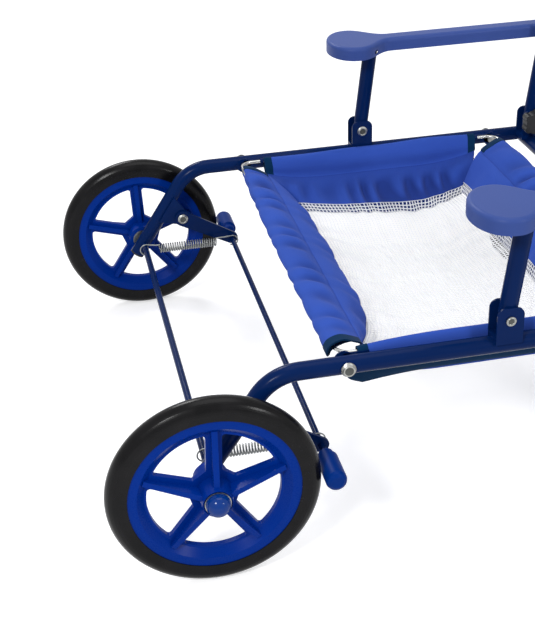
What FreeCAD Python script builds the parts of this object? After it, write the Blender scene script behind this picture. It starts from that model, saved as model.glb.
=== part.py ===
"""Folding beach cart: a tube frame with two large braked wheels behind, two swivel casters in front,
a wire ring that carries a cloth basket, and a push handle whose posts and armrests fold down with it.

Frame: millimetres, +X forward, +Y left, +Z up. The origin is on the floor under the middle of the cart.
Inside this file X is measured from the rear axle, and save() moves each piece to the origin.
"""
import FreeCAD, Part
from FreeCAD import Vector
import math
import os

# ---- driving dimensions: wheels ----
wheel_d = 254.0            # rear wheel over its tyre
wheel_beside_rail = 40.0   # a side rail's centre line to the middle of a rear tyre
tyre_w = 28.0
rim_d = 204.0              # seat of the tyre on the rim
rim_w = 23.4
rim_lip = 11.0             # radial width of the flat ring on each face of the rim
window_d = 158.0           # circle that the windows between the spokes reach
spoke_count = 5
spoke_web_w = 19.0
spoke_rib_w = 7.0
spoke_rib_h = 10.0         # height of a spoke's rib over the middle plane, at the rim
spoke_rib_below = 5.0      # outboard, the rib climbs to this far below the hub's face
web_half_t = 3.5
hub_d = 42.0
hub_out = 28.0             # the hub stands this far outboard of the tyre's middle plane
hub_nose_d = 36.0          # the hub tapers to this at its outboard face
hub_recess = 2.0           # the outer washer sits this deep in the hub's face
cap_d = 29.0
cap_h = 15.5
washer_d = 31.0
washer_t = 1.4

# ---- driving dimensions: frame ----
tube_d = 22.2
tube_wall = 1.5
rail_half_gap = 316.0      # centre plane of the cart to a side rail's centre line
rail_z = 246.0             # floor to a side rail's centre line
leg_angle = 56.0           # slope of a rear leg
leg_past_axle = 20.0
end_spare = 3.0            # a tube is this much longer before its end is cut round a pin
rail_bend_r = 60.0
axle_d = 9.5
caster_x = 700.0           # rear axle to the casters' swivel axis
front_bend_r = 45.0

# ---- driving dimensions: casters ----
caster_d = 152.0
caster_w = 26.0
caster_rim_d = 112.0
caster_trail = 30.0
caster_stem_d = 12.0
caster_axle_d = 8.0
fork_t = 3.0
fork_w = 30.0
fork_crown_gap = 9.0       # top of the caster tyre to the underside of the fork's crown
socket_flange_t = 4.0
socket_depth = 34.0

# ---- driving dimensions: foot brake ----
brake_pivot_x = 64.0
brake_pivot_up = 42.0      # height of the lever's pivot above the axle
brake_reach = 141.5        # axle to the cross rod with the brake on
brake_rod_drop = 1.0       # the rod lies this far below the axle with the brake on
lever_t = 4.0
lever_pivot_w = 25.0
lever_rod_w = 20.0
bracket_t = 4.0
brake_rod_d = 8.0
roller_l = 49.0
roller_gap = 1.6           # roller to tyre with the brake on
roller_collar_l = 11.0
spring_d = 13.0
spring_wire = 1.5
spring_coil_l = 92.0
spring_ridges = 12
rivet_head_d = 16.0
rivet_head_t = 2.8
rivet_d = 7.0
nut_r = 5.5
nut_t = 2.8

# ---- driving dimensions: basket ----
ring_wire = 4.6
ring_x0 = 161.5            # rear axle to the ring's rear wire
ring_before_cross = 51.0   # the ring's front wire to the front cross tube's centre line
ring_above_rail = 6.0
ring_corner_r = 18.0
clip_hook_l = 9.0
clip_t = 2.5
clip_eye_r = 13.5          # round end of a clip, about the rail's bolt
sleeve_d = 15.0
sleeve_flat = 26.0         # the end sleeves lie this much flatter than round, inward from the wire
sleeve_seam_d = 8.0        # thickness of an end sleeve at its seam
sleeve_drop = 6.0          # an end sleeve's seam hangs this far below the wire
border_end_in = 83.0       # how far the cloth border leans in from the ring's ends
border_side_in = 71.0      # and from its sides
basket_depth = 62.0        # how far the border's lower edge hangs under the ring
cloth_t = 3.0
corner_open = 24.0         # the border is cut away this far at the clips
border_below_wire = 2.0
mesh_t = 2.4
mesh_sag = 16.0
mesh_sag_inset = 70.0
rail_bolt_x = 168.0
bolt_head_d = 18.0

# ---- driving dimensions: posts, armrests and handle ----
post_x = 362.0
handle_x = 638.0            # also the front cross tube
pivot_above_rail = 37.0    # fold pivots above the rails' centre line
lean = 7.0                 # lean of the posts and handle toward the front, degrees
post_length = 135.0        # fold pivot to armrest pivot
bracket_w = 33.0
bracket_plate_t = 2.5
bracket_corner_r = 10.0
handle_half_gap = 284.0
handle_top = 950.0         # floor to the top of the grip
handle_bend_r = 70.0
grip_d = 32.0
grip_l = 300.0
arm_t = 20.0
arm_above_pin = 14.0       # armrest's top above the post's pin
arm_wall = 2.6
arm_edge_r = 6.0
arm_pad_half_w = 50.0
arm_pad_reach = 78.0       # post's pin to the armrest's rounded rear end
arm_pad_straight = 30.0    # post's pin back to where the pad starts to narrow
arm_neck_from = 30.0       # post's pin forward to where the pad has narrowed to the neck
arm_neck_half_w = 15.0
arm_first_rib = 36.0       # post's pin back to the first rib under the pad
arm_rib_pitch = 18.0
arm_rib_up = 4.0           # the ribs stop this far above the armrest's lower edge
knob_d = 42.0
knob_t = 16.0
knob_lobes = 5

# ---- clearances ----
run_fit = 0.05             # radial clearance of a pin or axle that turns
plug_fit = 0.05            # radial clearance of a plug pressed into a tube
side_gap = 0.3             # face to face clearance of parts that move past each other
soft_gap = 0.3             # cloth to its neighbours
link_gap = 0.5             # radial clearance where the folding linkage is closed

# ---- worked out from the above ----
wheel_r = wheel_d / 2
axle_z = wheel_r
tube_r = tube_d / 2
tube_bore_r = tube_r - tube_wall
leg_rise = rail_z - axle_z
leg_corner_x = leg_rise / math.tan(math.radians(leg_angle))
leg_dir = Vector(math.cos(math.radians(leg_angle)), 0, math.sin(math.radians(leg_angle)))
rail_top = rail_z + tube_r
wheel_half_track = rail_half_gap + wheel_beside_rail
rail_inner_y = rail_half_gap - tube_r
rail_outer_y = rail_half_gap + tube_r
pivot_z = rail_z + pivot_above_rail
lean_dir = Vector(math.sin(math.radians(lean)), 0, math.cos(math.radians(lean)))
pin_x = post_x + post_length * lean_dir.x
pin_z = pivot_z + post_length * lean_dir.z
link_x = handle_x + post_length * lean_dir.x
grip_z = handle_top - grip_d / 2
handle_top_x = handle_x + (grip_z - pivot_z) * math.tan(math.radians(lean))
rod_x = math.sqrt(brake_reach ** 2 - brake_rod_drop ** 2)
rod_z = axle_z - brake_rod_drop
brake_pivot_z = axle_z + brake_pivot_up
roller_r = brake_reach - wheel_r - roller_gap
plate_y = rail_inner_y - bracket_t
lever_y = plate_y - side_gap - lever_t
ring_z = rail_z + ring_above_rail
saddle_half = tube_r + side_gap + bracket_plate_t
ring_half_w = rail_half_gap - saddle_half - soft_gap - ring_wire / 2
ring_x1 = handle_x - ring_before_cross
caster_wheel_x = caster_x - caster_trail
caster_r = caster_d / 2
crown_z = caster_d + fork_crown_gap
front_reach = max(handle_top_x + grip_d / 2, caster_wheel_x + caster_r)
middle_x = (front_reach - wheel_r) / 2

X, Y, Z = Vector(1, 0, 0), Vector(0, 1, 0), Vector(0, 0, 1)
sides = {"left": 1, "right": -1}


# ---- helpers ----
def save(name, shape):
    """Write one named piece, moved from the rear axle to the cart's own origin."""
    placed = shape.copy()
    placed.translate(Vector(-middle_x, 0, 0))
    placed.exportStep("parts/" + name + ".step")


def mirrored(shape, side):
    """A piece is drawn on the left side; the right one is its mirror image."""
    return shape if side > 0 else shape.mirror(Vector(0, 0, 0), Y)


def fuse(shapes):
    whole = shapes[0]
    for shape in shapes[1:]:
        whole = whole.fuse(shape)
    return whole.removeSplitter()


def rod(radius, start, end):
    return Part.makeCylinder(radius, (end - start).Length, start, end - start)


def pin_y(radius, x, z, y0, y1):
    """A round bar along Y from y0 to y1."""
    return Part.makeCylinder(radius, y1 - y0, Vector(x, y0, z), Y)


def block(x0, x1, y0, y1, z0, z1):
    return Part.makeBox(x1 - x0, y1 - y0, z1 - z0, Vector(x0, y0, z0))


def prism(points, direction):
    return Part.Face(Part.makePolygon(points + points[:1])).extrude(direction)


def bent_path(points, radius):
    """Straight runs joined by tangent arcs of one radius."""
    edges, start = [], points[0]
    for before, corner, after in zip(points, points[1:], points[2:]):
        back, ahead = (before - corner).normalize(), (after - corner).normalize()
        half = back.getAngle(ahead) / 2
        inset = radius / math.tan(half)
        first, last = corner + back * inset, corner + ahead * inset
        middle = corner + (back + ahead).normalize() * (radius / math.sin(half) - radius)
        edges += [Part.makeLine(start, first), Part.Arc(first, middle, last).toShape()]
        start = last
    return Part.Wire(edges + [Part.makeLine(start, points[-1])])


def swept(path, radius):
    """A round bar along a path of lines and arcs, one cylinder or torus piece for each."""
    pieces = []
    for edge in path.OrderedEdges:
        start, end = edge.valueAt(edge.FirstParameter), edge.valueAt(edge.LastParameter)
        if edge.Orientation == "Reversed":
            start, end = end, start
        if edge.Curve.TypeId == "Part::GeomLine":
            pieces.append(rod(radius, start, end))
            continue
        centre = edge.Curve.Center
        axis = (start - centre).cross(end - centre)
        if axis.Length < 1e-6 * edge.Curve.Radius ** 2:
            middle = edge.valueAt((edge.FirstParameter + edge.LastParameter) / 2)
            axis = (start - centre).cross(middle - centre)
        axis.normalize()
        section = Part.Face(Part.Wire(Part.makeCircle(radius, start, axis.cross(start - centre))))
        pieces.append(section.revolve(centre, axis, math.degrees(edge.Length / edge.Curve.Radius)))
    return fuse(pieces)


def turned(profile, x, y, z):
    """A body of revolution about Y at (x, y, z) from (radius, offset along Y) points."""
    points = [Vector(x + r, y + along, z) for r, along in profile]
    return Part.Face(Part.makePolygon(points + points[:1])).revolve(Vector(x, y, z), Y, 360)


def link_plate(x0, z0, r0, x1, z1, r1, y0, y1):
    """A flat link with two round ends of different widths."""
    along = Vector(x1 - x0, 0, z1 - z0)
    length = along.Length
    unit = along / length
    side = Vector(-unit.z, 0, unit.x)
    lean_in = (r0 - r1) / length
    normal = unit * lean_in + side * math.sqrt(1 - lean_in ** 2)
    other = unit * lean_in - side * math.sqrt(1 - lean_in ** 2)
    a, b = Vector(x0, y0, z0), Vector(x1, y0, z1)
    outline = [Part.makeLine(a + normal * r0, b + normal * r1),
               Part.Arc(b + normal * r1, b + unit * r1, b + other * r1).toShape(),
               Part.makeLine(b + other * r1, a + other * r0),
               Part.Arc(a + other * r0, a - unit * r0, a + normal * r0).toShape()]
    return Part.Face(Part.Wire(outline)).extrude(Y * (y1 - y0))


def dome_head(x, z, y, out, diameter, height, shank_d, shank_l):
    """A domed rivet or bolt head at y that faces along out (+1 or -1), with its shank behind it."""
    r = diameter / 2
    profile = [(0, -out * shank_l), (shank_d / 2, -out * shank_l), (shank_d / 2, 0), (r, 0),
               (r, out * height * 0.35), (r * 0.72, out * height * 0.85), (r * 0.3, out * height),
               (0, out * height)]
    return turned(profile, x, y, z)


def end_rounded(tube, x, z, half_w):
    """Cut a tube's end round about the pin at (x, z), on the side away from the tube's middle."""
    centre = tube.BoundBox.Center
    away = Vector(x - centre.x, 0, z - centre.z).normalize()
    far = 4 * tube_d
    side = Vector(-away.z, 0, away.x) * far
    base = Vector(x, -half_w, z)
    beyond = [base + side, base + side + away * far, base - side + away * far, base - side]
    slab = prism(beyond, Y * (2 * half_w))
    return tube.cut(slab.cut(pin_y(tube_r, x, z, -half_w, half_w)))


# ---- rear wheels ----
def tyre(x, y, z, outer_r, seat_r, width, wall_in):
    """Solid rubber tyre with a round tread and flat beads."""
    half = width / 2
    crown_from = outer_r - half - 1
    points = [Vector(x + seat_r, y - half + wall_in, z), Vector(x + crown_from, y - half, z)]
    crown_to = Vector(x + crown_from, y + half, z)
    bead = Vector(x + seat_r, y + half - wall_in, z)
    edges = [Part.makeLine(points[0], points[1]),
             Part.Arc(points[1], Vector(x + outer_r, y, z), crown_to).toShape(),
             Part.makeLine(crown_to, bead), Part.makeLine(bead, points[0])]
    return Part.Face(Part.Wire(edges)).revolve(Vector(x, y, z), Y, 360)


def window(index, phase):
    """One opening between two spokes, with rounded corners, as a cutter."""
    step = 2 * math.pi / spoke_count
    middle = phase + (index + 0.5) * step
    outer = window_d / 2
    half_web = spoke_web_w / 2
    spread = step / 2 - math.asin(half_web / outer)
    depth = half_web / math.sin(step / 2) + 9
    at = lambda r, angle: Vector(r * math.cos(angle), -rim_w, r * math.sin(angle))
    left_corner, right_corner = at(outer, middle - spread), at(outer, middle + spread)
    inner = depth + 6
    inner_spread = step / 2 - math.asin(half_web / inner)
    left_in, right_in = at(inner, middle - inner_spread), at(inner, middle + inner_spread)
    wire = Part.Wire([Part.makeLine(left_in, left_corner),
                      Part.Arc(left_corner, at(outer, middle), right_corner).toShape(),
                      Part.makeLine(right_corner, right_in), Part.makeLine(right_in, left_in)])
    cutter = Part.Face(wire).extrude(Y * (2 * rim_w))
    upright = [e for e in cutter.Edges if abs(e.tangentAt(e.FirstParameter).y) > 0.99 and e.Length > rim_w]
    return cutter.makeFillet(3.5, upright)


def rim(phase_deg, hub_in):
    """Ribbed plastic rim about the origin, outboard face toward +Y."""
    seat, lip, barrel = rim_d / 2, rim_d / 2 - rim_lip, window_d / 2 + 3
    half = rim_w / 2
    bore = axle_d / 2 + run_fit
    body = turned([(bore, -web_half_t), (barrel, -web_half_t), (lip, -half), (seat, -half), (seat, half),
                   (lip, half), (barrel, web_half_t), (bore, web_half_t)], 0, 0, 0)
    phase = math.radians(phase_deg)
    for index in range(spoke_count):
        body = body.cut(window(index, phase))
    hub_r, nose_r = hub_d / 2, hub_nose_d / 2
    hub = turned([(0, -hub_in), (hub_r, -hub_in), (hub_r, web_half_t), (nose_r, hub_out), (0, hub_out)], 0, 0, 0)
    pieces = [body, hub]
    for index in range(spoke_count):
        angle = math.degrees(phase) + index * 360 / spoke_count
        root, tip = nose_r - 3, window_d / 2 + 8
        w = spoke_rib_w / 2
        rib = Part.makeLoft([
            Part.makePolygon([Vector(r, -spoke_rib_h, -w), Vector(r, -spoke_rib_h, w), Vector(r, h, w),
                              Vector(r, h, -w), Vector(r, -spoke_rib_h, -w)])
            for r, h in ((root, hub_out - spoke_rib_below), (tip, spoke_rib_h))], True, True)
        rib.rotate(Vector(0, 0, 0), Y, -angle)
        pieces.append(rib)
    whole = fuse(pieces)
    bore_cut = Part.makeCylinder(bore, 4 * hub_d, Vector(0, -2 * hub_d, 0), Y)
    recess_r = washer_d / 2 + 1
    floor = hub_out - hub_recess
    recess = turned([(bore, floor), (recess_r, floor), (recess_r + 1, hub_out + 1), (bore, hub_out + 1)], 0, 0, 0)
    return whole.cut(bore_cut).cut(recess)


def rear_wheels():
    washer_y = rail_outer_y
    hub_inner_y = washer_y + washer_t + side_gap
    cap_y = wheel_half_track + hub_out - hub_recess + side_gap + washer_t
    for name, side in sides.items():
        phase = 90 + 2 * side
        rim_body = rim(phase, wheel_half_track - hub_inner_y)
        rim_body.translate(Vector(0, wheel_half_track, axle_z))
        save("rim_rear_" + name, mirrored(rim_body, side))
        rubber = tyre(0, wheel_half_track, axle_z, wheel_r, rim_d / 2, tyre_w, 1.2)
        save("tyre_rear_" + name, mirrored(rubber, side))
        r = cap_d / 2
        blind = axle_d / 2
        cap = turned([(blind, 0), (r, 0), (r, 3), (r * 0.93, cap_h * 0.5), (r * 0.7, cap_h * 0.82),
                      (r * 0.36, cap_h), (0, cap_h), (0, 8), (blind, 8)], 0, cap_y, axle_z)
        save("hub_cap_" + name, mirrored(cap, side))
    hole = axle_d / 2
    washers = []
    for y in (washer_y, cap_y - washer_t):
        profile = [(hole, 0), (washer_d / 2, 0), (washer_d / 2, washer_t), (hole, washer_t)]
        ring = turned(profile, 0, y, axle_z)
        washers += [ring, mirrored(ring, -1)]
    save("axle_washers", Part.makeCompound(washers))
    save("rear_axle", pin_y(axle_d / 2, 0, axle_z, -(cap_y + 8), cap_y + 8))


# ---- frame ----
def rail_path():
    """Left rail's centre line: rear leg, bend, rail, bend, front leg."""
    axle = Vector(0, rail_half_gap, axle_z)
    foot = axle - leg_dir * leg_past_axle
    corner = Vector(leg_corner_x, rail_half_gap, rail_z)
    front = Vector(caster_x, rail_half_gap, rail_z)
    end = Vector(caster_x, rail_half_gap, crown_z + fork_t + side_gap + socket_flange_t)
    rear = bent_path([foot, corner, Vector(caster_x - 2 * front_bend_r, rail_half_gap, rail_z)], rail_bend_r)
    fore = bent_path([Vector(caster_x - 2 * front_bend_r, rail_half_gap, rail_z), front, end], front_bend_r)
    return Part.Wire(rear.OrderedEdges + fore.OrderedEdges)


def side_rails():
    path = rail_path()
    tube = swept(path, tube_r).cut(swept(path, tube_bore_r))
    tube = tube.cut(pin_y(axle_d / 2, 0, axle_z, 0, 2 * rail_half_gap))
    bolt_hole = pin_y(rivet_d / 2, rail_bolt_x, rail_z, 0, 2 * rail_half_gap)
    front_bolt_hole = pin_y(rivet_d / 2, front_bolt_x(), rail_z, 0, 2 * rail_half_gap)
    tube = tube.cut(bolt_hole).cut(front_bolt_hole)
    for name, side in sides.items():
        save("side_rail_" + name, mirrored(tube, side))
    foot = Vector(0, rail_half_gap, axle_z) - leg_dir * leg_past_axle
    plug = Part.makeCylinder(tube_bore_r - plug_fit, 9, foot, leg_dir).fuse(
        Part.makeCylinder(tube_r, 2.5, foot - leg_dir * 2.5, leg_dir))
    save("leg_end_plugs", Part.makeCompound([plug, mirrored(plug, -1)]))


def front_bolt_x():
    """The front rail bolts hold the ring as the rear ones do."""
    return ring_x1 + (ring_x0 - rail_bolt_x)


def cross_tube():
    """The front cross tube meets each rail in a fitted round mouth."""
    bar = pin_y(tube_r, handle_x, rail_z, -rail_half_gap, rail_half_gap)
    bore = pin_y(tube_bore_r, handle_x, rail_z, -rail_half_gap, rail_half_gap)
    bar = bar.cut(bore)
    for side in (1, -1):
        rail_from = Vector(handle_x - 4 * tube_d, side * rail_half_gap, rail_z)
        rail = Part.makeCylinder(tube_r, 8 * tube_d, rail_from, X)
        bar = bar.cut(rail)
    save("front_cross_tube", max(bar.Solids, key=lambda solid: solid.Volume))


# ---- casters ----
def casters():
    socket_z = crown_z + fork_t + side_gap
    y = rail_half_gap
    centre = Vector(caster_x, y, 0)
    stem_r = caster_stem_d / 2
    socket = Part.makeCylinder(tube_r, socket_flange_t, centre + Z * socket_z).fuse(
        Part.makeCylinder(tube_bore_r - plug_fit, socket_depth, centre + Z * (socket_z + socket_flange_t)))
    socket = socket.cut(Part.makeCylinder(stem_r + run_fit, 2 * socket_depth, centre + Z * (socket_z - 1)))
    half_in = caster_w / 2 + 3
    half_out = half_in + fork_t
    wx, wz = caster_wheel_x, caster_r
    crown = block(wx - fork_w / 2, caster_x + fork_w / 2, y - half_out, y + half_out, crown_z, crown_z + fork_t)
    corners = [e for e in crown.Edges if abs(e.tangentAt(e.FirstParameter).z) > 0.99]
    pieces = [crown.makeFillet(half_out * 0.4, corners)]
    for face_y in (y - half_out, y + half_in):
        top_z = crown_z + fork_t / 2
        leg = prism([Vector(wx - fork_w / 2, face_y, top_z), Vector(caster_x + 2, face_y, top_z),
                     Vector(wx + fork_w / 2 - 4, face_y, wz), Vector(wx - fork_w / 2 + 4, face_y, wz)], Y * fork_t)
        foot = pin_y(fork_w / 2 - 4, wx, wz, face_y, face_y + fork_t)
        pieces += [leg, foot]
    fork = fuse(pieces).cut(pin_y(caster_axle_d / 2, wx, wz, y - 2 * half_out, y + 2 * half_out))
    stem = Part.makeCylinder(stem_r, socket_flange_t + socket_depth + side_gap, centre + Z * (crown_z + fork_t))
    fork = fork.fuse(stem).removeSplitter()
    rim_r, hub_r = caster_rim_d / 2, 14.0
    bore = caster_axle_d / 2 + run_fit
    half = caster_w / 2
    outer = [(hub_r, half + 1), (hub_r + 2, 4), (rim_r - 12, 4), (rim_r - 8, half - 3), (rim_r, half - 3)]
    inner = [(r, -across) for r, across in outer]
    wheel = turned([(bore, -half - 1)] + inner + outer[::-1] + [(bore, half + 1)], wx, y, wz)
    hole_circle = (hub_r + rim_r - 10) / 2
    for index in range(spoke_count):
        angle = 2 * math.pi * index / spoke_count
        wheel = wheel.cut(pin_y(9.0, wx + hole_circle * math.cos(angle), wz + hole_circle * math.sin(angle),
                                y - caster_w, y + caster_w))
    rubber = tyre(wx, y, wz, caster_r, rim_r, caster_w, 1.0)
    bolt = pin_y(caster_axle_d / 2, wx, wz, y - half_out, y + half_out)
    ends = [pin_y(caster_axle_d / 2 + 2.6, wx, wz, y + half_out, y + half_out + 5),
            pin_y(caster_axle_d / 2 + 2.6, wx, wz, y - half_out - 5, y - half_out)]
    bolt = fuse([bolt] + ends)
    for name, side in sides.items():
        save("caster_socket_" + name, mirrored(socket, side))
        save("caster_fork_" + name, mirrored(fork, side))
        save("caster_rim_" + name, mirrored(wheel, side))
        save("caster_tyre_" + name, mirrored(rubber, side))
        save("caster_axle_" + name, mirrored(bolt, side))


# ---- foot brake ----
def foot_brake():
    hole = pin_y(rivet_d / 2, brake_pivot_x, brake_pivot_z, 0, 2 * rail_half_gap)
    along = leg_dir.dot(Vector(brake_pivot_x, 0, brake_pivot_z - axle_z))
    low = Vector(0, plate_y, axle_z) + leg_dir * (along - 24)
    high = Vector(0, plate_y, axle_z) + leg_dir * (along + 24)
    boss_r = lever_pivot_w / 2
    across = Vector(leg_dir.z, 0, -leg_dir.x)
    pivot = Vector(brake_pivot_x, plate_y, brake_pivot_z)
    plate = prism([low, pivot - leg_dir * boss_r, pivot + leg_dir * boss_r, high], Y * bracket_t)
    boss = pin_y(boss_r, brake_pivot_x, brake_pivot_z, plate_y, plate_y + bracket_t)
    plate = plate.fuse(boss).removeSplitter()
    plate = plate.cut(hole)
    lever = link_plate(brake_pivot_x, brake_pivot_z, boss_r, rod_x, rod_z, lever_rod_w / 2,
                       lever_y, lever_y + lever_t)
    lever = lever.cut(pin_y(rivet_d / 2 + run_fit, brake_pivot_x, brake_pivot_z, 0, 2 * rail_half_gap))
    lever = lever.cut(pin_y(brake_rod_d / 2, rod_x, rod_z, 0, 2 * rail_half_gap))
    rivet = dome_head(brake_pivot_x, brake_pivot_z, lever_y - side_gap, -1, rivet_head_d, rivet_head_t, rivet_d,
                      lever_t + bracket_t + 2 * side_gap)
    roller_y0 = rail_outer_y + 2.4
    roller_y1 = roller_y0 + roller_l
    r = roller_r
    bore = brake_rod_d / 2
    rod_end = roller_y1 - 8
    collar_y = roller_y0 - roller_collar_l
    roller = turned([(bore, collar_y), (r * 0.62, collar_y), (r * 0.75, collar_y + 2), (r * 0.75, roller_y0 - 1),
                     (r, roller_y0 + 1), (r, roller_y1 - 6), (r * 0.9, roller_y1 - 2.5), (r * 0.6, roller_y1),
                     (0, roller_y1), (0, rod_end), (bore, rod_end)], rod_x, 0, rod_z)
    spring = brake_spring(lever_y - side_gap - rivet_head_t - side_gap - spring_d / 2)
    for name, side in sides.items():
        save("brake_bracket_" + name, mirrored(plate, side))
        save("brake_lever_" + name, mirrored(lever, side))
        save("brake_roller_" + name, mirrored(roller, side))
        save("brake_spring_" + name, mirrored(spring, side))
    save("brake_rivets", Part.makeCompound([rivet, mirrored(rivet, -1)]))
    save("brake_rod", pin_y(brake_rod_d / 2, rod_x, rod_z, -rod_end, rod_end))


def brake_spring(y):
    """Close-wound tension spring between the axle and the rod: a ridged coil with a wire hook at each end."""
    start, end = Vector(0, y, axle_z), Vector(rod_x, y, rod_z)
    length = (end - start).Length
    coil_from = (length - spring_coil_l) / 2 + 4
    wire_r = spring_wire / 2
    outer, valley = spring_d / 2, spring_d / 2 - wire_r
    pitch = spring_coil_l / spring_ridges
    profile = [(0, coil_from)]
    for index in range(spring_ridges):
        profile += [(valley, coil_from + index * pitch), (outer, coil_from + (index + 0.5) * pitch)]
    profile += [(valley, coil_from + spring_coil_l), (0, coil_from + spring_coil_l)]
    coil = turned(profile, 0, 0, 0)
    pieces = [coil]
    ends = ((axle_d / 2 + wire_r + run_fit, 0, 1, coil_from), (brake_rod_d / 2 + wire_r + run_fit, length, -1,
                                                               coil_from + spring_coil_l))
    for loop_r, at, way, coil_end in ends:
        neck = Vector(0, at + way * 9, loop_r)
        turn_in, turn_out = Vector(0, at, loop_r), Vector(0, at, -loop_r)
        pieces.append(Part.makeSphere(wire_r, neck))
        path = Part.Wire([Part.makeLine(Vector(0, coil_end - way, 0), neck), Part.makeLine(neck, turn_in),
                          Part.Arc(turn_in, Vector(0, at - way * loop_r, 0), turn_out).toShape(),
                          Part.makeLine(turn_out, turn_out + Y * (way * 3))])
        pieces.append(swept(path, wire_r))
    whole = fuse(pieces)
    whole.rotate(Vector(0, 0, 0), Z, -90)
    tilt = math.degrees(math.asin((end.z - start.z) / length))
    whole.rotate(Vector(0, 0, 0), Y, -tilt)
    whole.translate(start)
    return whole


# ---- basket ----
def ring_corners(half_w, x0, x1, z):
    return [Vector(x0, half_w, z), Vector(x1, half_w, z), Vector(x1, -half_w, z), Vector(x0, -half_w, z)]


def ring_wire_path():
    corners = ring_corners(ring_half_w, ring_x0, ring_x1, ring_z)
    middle = (corners[3] + corners[0]) / 2
    path = bent_path([middle] + corners + [middle], ring_corner_r)
    return Part.Wire(path.OrderedEdges)


def ring_clips():
    """Plates bolted to the rails' inner sides; each one's end is curled over the ring as a hook."""
    bore_r = ring_wire / 2 + soft_gap
    hook_r = bore_r + clip_t
    clips, bolts = [], []
    for bolt_x, bend_x, way in ((rail_bolt_x, ring_x0, 1), (front_bolt_x(), ring_x1, -1)):
        hook_from = bend_x + way * ring_corner_r
        hook_to = hook_from + way * clip_hook_l
        start, end = Vector(hook_from, ring_half_w, ring_z), Vector(hook_to, ring_half_w, ring_z)
        plate = link_plate(bolt_x, rail_z, clip_eye_r, hook_to - way * hook_r, ring_z - hook_r / 2, hook_r,
                           rail_inner_y - clip_t, rail_inner_y)
        low, high = sorted((hook_from, hook_to))
        under = block(low, high, 0, ring_half_w, 0, ring_z - ring_wire / 4)
        hook = rod(hook_r, start, end).cut(rod(bore_r, start, end)).cut(under)
        clip = fuse([plate, hook]).cut(pin_y(rivet_d / 2, bolt_x, rail_z, 0, 2 * rail_half_gap))
        bolt = dome_head(bolt_x, rail_z, rail_outer_y, 1, bolt_head_d, 5.0, rivet_d, tube_d + clip_t + nut_t)
        nut = pin_y(nut_r, bolt_x, rail_z, rail_inner_y - clip_t - nut_t, rail_inner_y - clip_t)
        bolt = bolt.fuse(nut).removeSplitter()
        clips += [clip, mirrored(clip, -1)]
        bolts += [bolt, mirrored(bolt, -1)]
    save("ring_clips", Part.makeCompound(clips))
    save("rail_bolts", Part.makeCompound(bolts))


def funnel(top, low):
    """A four-sided taper inside the ring; top and low are (inset from its ends, from its sides, height)."""
    loops = []
    for end_in, side_in, z in (top, low):
        corners = ring_corners(ring_half_w - side_in, ring_x0 + end_in, ring_x1 - end_in, z)
        loops.append(Part.makePolygon(corners + corners[:1]))
    return Part.makeLoft(loops, True, True)


def basket():
    wire = swept(ring_wire_path(), ring_wire / 2)
    save("basket_ring", wire)
    sleeve_r = sleeve_d / 2
    bore = ring_wire / 2 + soft_gap
    corner = ring_corner_r + clip_hook_l
    low_z = ring_z - basket_depth
    top_z = ring_z - border_below_wire
    outer = funnel((0, 0, top_z), (border_end_in, border_side_in, low_z))
    inner = funnel((cloth_t, cloth_t, top_z), (border_end_in + cloth_t, border_side_in + cloth_t, low_z))
    cloth = outer.cut(inner)
    side_from, side_to = ring_x0 + corner + soft_gap, ring_x1 - corner - soft_gap
    for x0, x1 in ((ring_x0 - corner, side_from), (side_to, ring_x1 + corner)):
        cutter = block(x0, x1, ring_half_w - corner_open, rail_half_gap,
                       ring_z - corner_open, ring_z + sleeve_d)
        cloth = cloth.cut(cutter).cut(mirrored(cutter, -1))
    sleeves = []
    sleeve_y = rail_inner_y - soft_gap - sleeve_r
    for y in (sleeve_y, -sleeve_y):
        sleeves.append(rod(sleeve_r, Vector(side_from, y, ring_z), Vector(side_to, y, ring_z)))
    hollows = []
    for x, way in ((ring_x0, 1), (ring_x1, -1)):
        seam_x, seam_z = x + way * sleeve_flat, ring_z - sleeve_drop
        sleeves.append(link_plate(x, ring_z, sleeve_r, seam_x, seam_z, sleeve_seam_d / 2,
                                  corner - ring_half_w, ring_half_w - corner))
        hollows.append(link_plate(x, ring_z, sleeve_r - cloth_t, seam_x, seam_z, sleeve_seam_d / 2 - cloth_t,
                                  corner - ring_half_w, ring_half_w - corner))
    cloth = fuse([cloth] + sleeves)
    for hollow in hollows:
        cloth = cloth.cut(hollow)
    saddle = block(post_x - bracket_w / 2 - soft_gap, post_x + bracket_w / 2 + soft_gap,
                   rail_half_gap - saddle_half - soft_gap, rail_half_gap, ring_z - sleeve_d, ring_z + sleeve_d)
    for cutter in (saddle, mirrored(saddle, -1), swept(ring_wire_path(), bore)):
        cloth = cloth.cut(cutter)
    save("basket_cloth", cloth)
    seat_z = low_z - soft_gap
    end_in, side_in = border_end_in + mesh_sag_inset, border_side_in + mesh_sag_inset
    pan_out = funnel((border_end_in, border_side_in, seat_z), (end_in, side_in, seat_z - mesh_sag))
    pan_in = funnel((border_end_in + mesh_t, border_side_in + mesh_t, seat_z + mesh_t),
                    (end_in + mesh_t, side_in + mesh_t, seat_z + mesh_t - mesh_sag))
    save("basket_mesh", pan_out.cut(pan_in))


# ---- posts, armrests and handle ----
def u_bracket(x, y, base_z):
    """Saddle that straddles a tube's foot: two round-cornered plates on a floor seated on the tube below."""
    half = saddle_half
    top = pivot_z + bracket_w / 2
    outline = block(x - bracket_w / 2, x + bracket_w / 2, y - half, y + half, base_z, top)
    corners = [e for e in outline.Edges if abs(e.tangentAt(e.FirstParameter).y) > 0.99
               and e.CenterOfMass.z > pivot_z]
    outline = outline.makeFillet(bracket_corner_r, corners)
    floor_z = rail_top + bracket_plate_t
    inside = block(x - bracket_w, x + bracket_w, y - half + bracket_plate_t, y + half - bracket_plate_t,
                   floor_z, top + 1)
    return outline.cut(inside)


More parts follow.
